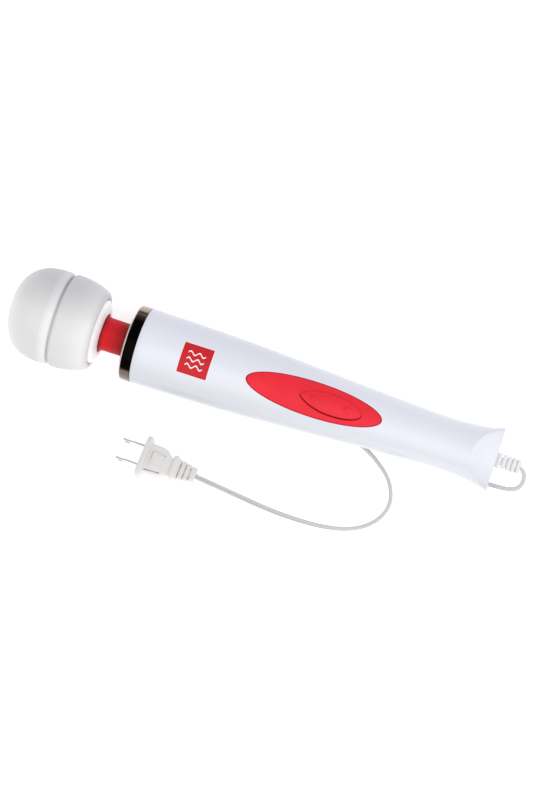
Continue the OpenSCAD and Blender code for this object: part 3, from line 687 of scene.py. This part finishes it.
ROCKER_PLACE = (LAY @ Matrix.Translation((ROCKER_X, 0, handle_radius(ROCKER_X)))
                @ Matrix.Rotation(math.radians(ROCKER_SLOPE), 4, "Y"))


def rocker_height(u, v):
    """Top of the rocker: crowned, lower towards its ends, with a finger bump near each end."""
    crown = ROCKER_HIGH - 0.55 * (u / ROCKER_A) ** 2 - 0.95 * (v / ROCKER_B) ** 2
    for side in (-1, 1):
        away = math.hypot(u - side * BUMP_X, v * 1.1)
        crown += BUMP_HIGH * math.exp(-((away / BUMP_R) ** 6))
    return crown


rocker_outline = [leaf(2 * math.pi * k / 144, 0, 0) for k in range(144)]
rocker_rows = []
for share in blend_steps(0.02, 0.93, 26) + [0.955, 0.975, 0.99, 1.0]:
    fall = 0.5 * max(0, (share - 0.9) / 0.1) ** 2.5
    rocker_rows.append([(share * u, share * v, rocker_height(share * u, share * v) - fall)
                        for u, v in rocker_outline])
rocker_rows.append([(x, y, -0.9) for x, y, z in rocker_rows[-1]])
rocker_rows.append([(x * 0.5, y * 0.5, -1.4) for x, y, z in rocker_rows[-1]])
piece("rocker_cap", *skin(rocker_rows), RED_ROCKER, "rocker_red", "rocker", ["rocker"], ROCKER_PLACE)


def badge_rows(half, corner, low, high, cells=28):
    """Rows of a rounded square lying on the handle, from its middle out and down its edge."""
    corners = rounded_box(half, half, corner, 5)
    outline = []
    for (x0, y0), (x1, y1) in zip(corners, corners[1:] + corners[:1]):
        cuts = cells if math.hypot(x1 - x0, y1 - y0) > half else 1
        outline += [(x0 + (x1 - x0) * k / cuts, y0 + (y1 - y0) * k / cuts) for k in range(cuts)]
    rows = [[on_handle(BADGE_X + x * s, y * s, high) for x, y in outline]
            for s in blend_steps(0.02, 0.99, 14)]
    rows.append([on_handle(BADGE_X + x, y, high - 0.04) for x, y in outline])
    rows.append([on_handle(BADGE_X + x, y, low) for x, y in outline])
    return rows


piece("badge_border", *skin(badge_rows(BADGE_HALF + 0.3, 0.8, -0.3, 0.09)), BADGE_INK, "badge_red", "housing")
piece("badge_square", *skin(badge_rows(BADGE_HALF, 0.5, -0.3, 0.16)), RED_BADGE, "badge_red", "housing",
      ["badge"])


def badge_wave(middle):
    """A raised wavy white line on the badge."""
    rows = []
    for x in blend_steps(-WAVE_HALF, WAVE_HALF, 48):
        y = middle + WAVE_SWING * math.sin(2 * math.pi * x / WAVE_PERIOD)
        rows.append([on_handle(BADGE_X + x, y + offset * WAVE_WIDE, lift)
                     for offset, lift in ((-0.5, 0.1), (-0.46, 0.2), (0, 0.23), (0.46, 0.2), (0.5, 0.1))])
    return skin(rows)


for number, middle in enumerate(WAVE_AT):
    piece(f"badge_wave_{number + 1}", *badge_wave(middle), BADGE_INK, "badge_red", "housing")

# ---------- strain relief, cord and plug ----------


def box_ring(x, wide, high, corner, steps=6):
    """A rounded rectangle across the x axis, from its half width and half height."""
    corner = min(corner, wide * 0.98, high * 0.98)
    return [(x, y, z) for y, z in rounded_box(wide, high, corner, steps)]


def softened(stations, soft=0.3):
    """Stations (x, wide, high, corner) with each step between sizes rounded over."""
    out = []
    edge = [(0, soft), (soft * 0.3, soft * 0.3), (soft, 0)]
    for k, (x, wide, high, corner) in enumerate(stations):
        before = stations[k - 1] if k else (x, 0)
        after = stations[k + 1] if k + 1 < len(stations) else (x, 0)
        if abs(before[0] - x) < 0.02 and before[1] < wide - 0.1:
            out += [(x + inward, wide - inset, high - inset, corner) for inward, inset in edge]
        elif abs(after[0] - x) < 0.02 and after[1] < wide - 0.1:
            out += [(x - inward, wide - inset, high - inset, corner) for inward, inset in reversed(edge)]
        else:
            out.append((x, wide, high, corner))
    return out


def bent(point, start_x, per_mm):
    """A point of the relief, drooping more the further it is from the tail."""
    x, y, z = point
    reach = max(0, x - start_x)
    angle = math.radians(per_mm * reach)
    return (start_x + min(0, x - start_x) + reach * math.cos(angle) + z * math.sin(angle), y,
            -reach * math.sin(angle) + z * math.cos(angle))


relief_stations = [(HANDLE_LEN - 3, 5.15, 5.15, 5.0), (HANDLE_LEN + 0.2, 5.15, 5.15, 5.0),
                   (HANDLE_LEN + 0.45, 4.9, 4.9, 4.8), (HANDLE_LEN + 0.46, 4.0, 2.9, 0.9),
                   (HANDLE_LEN + RIB_START, 4.0, 2.9, 0.9)]
for k in range(RELIEF_RIBS):
    at = HANDLE_LEN + RELIEF_PITCH * k + RIB_START
    wide = 4.7 - 0.12 * k
    relief_stations += [(at, *RELIEF_STEM), (at, wide, 3.0, 1.1), (at + RIB_LEN, wide - 0.05, 2.97, 1.1),
                        (at + RIB_LEN, *RELIEF_STEM)]
relief_stations[-1] = (at + RIB_LEN, 4.1, 2.85, 1.1)
relief_rows = [box_ring(*station) for station in softened(relief_stations, 0.22)]
relief_rows = [[bent(p, HANDLE_LEN, RELIEF_DROOP / RELIEF_PITCH) for p in row] for row in relief_rows]
relief = piece("cord_relief", *skin(relief_rows), RELIEF_VINYL, "cord_white", "housing", ["strain_relief"])

PLUG_UP = Vector((0, -math.sin(math.radians(PLUG_ROLL)), math.cos(math.radians(PLUG_ROLL))))
# Painted shade: the blades are darker where their faces turn towards the plug's up side.
tinted(BLADE_METAL, facing(BLADE_METAL.node_tree, PLUG_UP), tints(
    (0, 1), (0.6, 0.98), (0.85, 0.8), (1, 0.76)))
PLUG_PLACE = (Matrix.Scale(MM, 4) @ Matrix.Translation(PLUG_AT)
              @ Matrix.Rotation(math.radians(PLUG_TURN), 4, "Z")
              @ Matrix.Rotation(math.radians(PLUG_ROLL), 4, "X"))

# The plug along its own axis, from the flange: each station is (x, half width, half height, corner).
plug_stations = [
    (0, 12.2, 5.8, 2.2), (0.35, 12.9, 6.5, 2.5), (1.0, 13.2, 6.7, 2.6), (2.8, 13.2, 6.7, 2.6),
    (3.4, 12.8, 6.4, 2.4), (3.75, 11.4, 5.7, 2.0), (3.95, 9.6, 4.9, 1.5), (4.5, 9.1, 4.75, 1.3),
    (5.3, 9.2, 4.95, 1.1), (7.0, 9.4, 5.0, 1.1), (9.5, 9.5, 5.0, 1.1), (12.0, 9.4, 4.95, 1.1),
    (14.0, 9.0, 4.8, 1.2), (15.6, 8.3, 4.6, 1.3), (17.0, 7.2, 4.3, 1.4), (18.2, 6.0, 3.8, 1.4),
    (18.9, 5.3, 3.6, 1.3), (19.7, 5.4, 3.6, 1.3), (20.1, 7.0, 4.2, 1.5), (20.5, 7.8, 4.5, 1.6),
    (22.2, 7.7, 4.5, 1.6), (22.9, 7.3, 4.2, 1.5), (23.4, 6.5, 3.8, 1.4), (25.3, 6.3, 3.7, 1.4),
    (25.3, *PLUG_STEM)]
# Its ribs behind: (start, end, half width, half height).
for at, end, wide, high in ((26.1, 28.8, 6.0, 3.55), (29.6, 32.2, 5.4, 3.25), (33.0, 36.1, 4.8, 2.95)):
    plug_stations += [(at, *PLUG_STEM), (at, wide, high, 1.2), (end, wide - 0.15, high - 0.08, 1.2),
                      (end, *PLUG_STEM)]
plug_stations.append((36.4, *PLUG_STEM))
plug = piece("plug_shell", *skin([box_ring(*s) for s in softened(plug_stations, 0.25)]), PLUG_VINYL,
             "plug_white", "housing", ["plug_body"], PLUG_PLACE)


def pad_rows():
    """A raised grip pad on the flat of the plug, with softened edges."""
    outline = rounded_box(PAD_HALF_X, PAD_HALF_Y, PAD_CORNER, 5)
    rows = []
    for share, lift in ((0.04, 0.42), (0.5, 0.42), (0.86, 0.42), (0.95, 0.38), (1.0, 0.2), (1.0, -0.5)):
        rows.append([(PAD_X + x * share, PAD_Y + y * share * (1 - 0.02 * x), 4.95 - 0.03 * x + lift)
                     for x, y in outline])
    return rows


pad = piece("plug_pad", *skin(pad_rows()), PLUG_VINYL, "plug_white", "housing", place=PLUG_PLACE)


def plug_shade_line(start, end, width):
    """A thin raised grey strip on the plug, between two (x, y, z) ends: painted shade along an edge."""
    start, end = Vector(start), Vector(end)
    side = (end - start).cross(Vector((0, 0, 1))).normalized() * width / 2
    rows = []
    for share in blend_steps(0, 1, 8):
        middle = start.lerp(end, share)
        rows.append([tuple(middle + side * a + Vector((0, 0, b)))
                     for a, b in ((-1, -0.6), (-1, 0.05), (-0.6, 0.12), (0.6, 0.12), (1, 0.05), (1, -0.6))])
    return skin(rows)


for number, ends_and_width in enumerate(PLUG_SHADE_LINES):
    piece(f"plug_shade_line_{number + 1}", *plug_shade_line(*ends_and_width), SHADE_LINE_GREY, "plug_white",
                            "housing", place=PLUG_PLACE)


def blade_rows(y):
    """A flat blade with a chamfered tip and a round hole, as rings round the hole."""
    high, shoulder = BLADE_HALF, BLADE_TIP - BLADE_LEN
    sides = [(0.05, -high), (0.05, high), (shoulder, high), (-BLADE_LEN, high - 1.2),
             (-BLADE_LEN, -high + 1.2), (shoulder, -high)]
    turns = sorted({2 * math.pi * k / 48 for k in range(48)}
                   | {math.atan2(z, x - HOLE_X) % (2 * math.pi) for x, z in sides})
    outline = []
    for turn in turns:
        ray = Vector((math.cos(turn), math.sin(turn)))
        nearest = math.inf
        for (x0, z0), (x1, z1) in zip(sides, sides[1:] + sides[:1]):
            edge = Vector((x1 - x0, z1 - z0))
            start = Vector((x0 - HOLE_X, z0))
            cross = ray.x * edge.y - ray.y * edge.x
            if abs(cross) > 1e-9:
                reach = (start.x * edge.y - start.y * edge.x) / cross
                share = (start.x * ray.y - start.y * ray.x) / cross
                if reach > 0 and -1e-6 <= share <= 1 + 1e-6:
                    nearest = min(nearest, reach)
        outline.append(nearest)
    rows = []
    for flat, inset in ((-1, 0), (-1, 0.5), (-0.45, 0), (0.45, 0), (1, 0.5), (1, 0)):
        hole = flat in (-1, 1) and inset == 0
        row = []
        for turn, reach in zip(turns, outline):
            away = HOLE_R if hole else reach - inset
            row.append((HOLE_X + away * math.cos(turn), y + flat * BLADE_THICK / 2, away * math.sin(turn)))
        rows.append(row)
    return rows


for number, y in enumerate((BLADE_APART / 2, -BLADE_APART / 2)):
    replaced = ["plug_blades"] if number == 0 else []
    piece(f"plug_blade_{number + 1}", *skin(blade_rows(y), along=True), BLADE_METAL,
                        "blade_metal", "housing", replaced, PLUG_PLACE, sharp=25)


def curve_through(points, steps):
    """A smooth line through the points, each span cut in equal steps."""
    line = []
    for k in range(len(points) - 1):
        a, b = Vector(points[max(k - 1, 0)]), Vector(points[k])
        c, d = Vector(points[k + 1]), Vector(points[min(k + 2, len(points) - 1)])
        for s in range(steps):
            t = s / steps
            line.append(0.5 * (2 * b + (c - a) * t + (2 * a - 5 * b + 4 * c - d) * t * t
                               + (3 * b - 3 * c + d - a) * t**3))
    line.append(Vector(points[-1]))
    return line


def cord_section():
    """A flat two-core cord: two round cores side by side with a groove between them."""
    half, core = CORD_WIDE / 2, CORD_THICK / 2
    section = []
    for k in range(32):
        turn = 2 * math.pi * k / 32
        reach = 1 / math.sqrt((math.cos(turn) / half) ** 2 + (math.sin(turn) / core) ** 2)
        dip = CORD_DIP * math.exp(-((abs(math.cos(turn)) / 0.26) ** 2))
        section.append((reach * math.cos(turn), (reach - dip) * math.sin(turn)))
    return section


# How far the flat cord is rolled on edge, as (point of the route, degrees): it stands on edge in
# its bends and lies flat from the plug and under the wand.
CORD_ROLL = [(0, 70), (12, 40), (20, 10), (23, 35), (27, 75), (34, 75), (38, 30), (40, 5), (len(ROUTE), 0)]


def cord_roll(span):
    """The cord's roll at a place along its route, counted in route points."""
    for (s0, a0), (s1, a1) in zip(CORD_ROLL, CORD_ROLL[1:]):
        if span <= s1:
            return math.radians(a0 + (a1 - a0) * (span - s0) / (s1 - s0))
    return 0.0


SPAN_STEPS = 6
cord_line = curve_through(ROUTE, SPAN_STEPS)
cord_rows = []
for k, point in enumerate(cord_line):
    ahead = cord_line[min(k + 1, len(cord_line) - 1)] - cord_line[max(k - 1, 0)]
    side = ahead.cross(Vector((0, 0, 1))).normalized()
    over = side.cross(ahead).normalized()
    roll = cord_roll(k / SPAN_STEPS)
    turned_side = side * math.cos(roll) + over * math.sin(roll)
    turned_over = over * math.cos(roll) - side * math.sin(roll)
    low = math.hypot(CORD_WIDE / 2 * math.sin(roll), CORD_THICK / 2 * math.cos(roll))
    settle = Vector((0, 0, CORD_R - low + CORD_SINK))
    cord_rows.append([tuple(point + turned_side * a + turned_over * b - settle)
                      for a, b in cord_section()])
cord = piece("mains_cord", *skin(cord_rows), CORD_VINYL, "cord_white", "housing", ["power_cord"],
             Matrix.Scale(MM, 4))

# ---------- floor and light ----------

FLOOR_REACH, FLOOR_GLOW = 20, 0.36


def make_floor():
    """A pale floor that glows a little, so that it stays white in the shadows."""
    mesh = bpy.data.meshes.new("floor")
    corners = [(a * FLOOR_REACH, b * FLOOR_REACH, 0) for a, b in ((-1, -1), (1, -1), (1, 1), (-1, 1))]
    mesh.from_pydata(corners, [], [(0, 1, 2, 3)])
    floor = bpy.data.objects.new("floor", mesh)
    bpy.context.scene.collection.objects.link(floor)
    finish = moulded("pale_floor", linear(250, 250, 250), 0.8, 300, 0.00002, 0.004, 3)
    glow = finish.node_tree.nodes["Principled BSDF"]
    glow.inputs["Emission Color"].default_value = (1, 1, 1, 1)
    glow.inputs["Emission Strength"].default_value = FLOOR_GLOW
    mesh.materials.append(finish)


def make_light(name, place, size, power, colour):
    """A soft square light that faces the wand."""
    data = bpy.data.lights.new(name, "AREA")
    data.shape = "SQUARE"
    data.size = size
    data.energy = power
    data.color = colour
    light = bpy.data.objects.new(name, data)
    bpy.context.scene.collection.objects.link(light)
    light.location = place
    light.rotation_mode = "QUATERNION"
    light.rotation_quaternion = (Vector(place) - AIM).to_track_quat("Z", "Y")


def make_world(strength, colour):
    """An even studio light from all round."""
    world = bpy.data.worlds.new("studio")
    world.use_nodes = True
    background = world.node_tree.nodes["Background"]
    background.inputs["Color"].default_value = (*colour, 1)
    background.inputs["Strength"].default_value = strength
    bpy.context.scene.world = world


make_floor()
make_world(strength=0.76, colour=(0.99, 0.99, 1))
make_light("key", place=(0.2, -0.7, 1.6), size=2.0, power=12, colour=(1, 0.995, 0.98))
make_light("tail_fill", place=(1.3, -0.1, 0.9), size=1.0, power=3.2, colour=(0.98, 0.985, 1))
bpy.context.scene.view_settings.view_transform = "Standard"
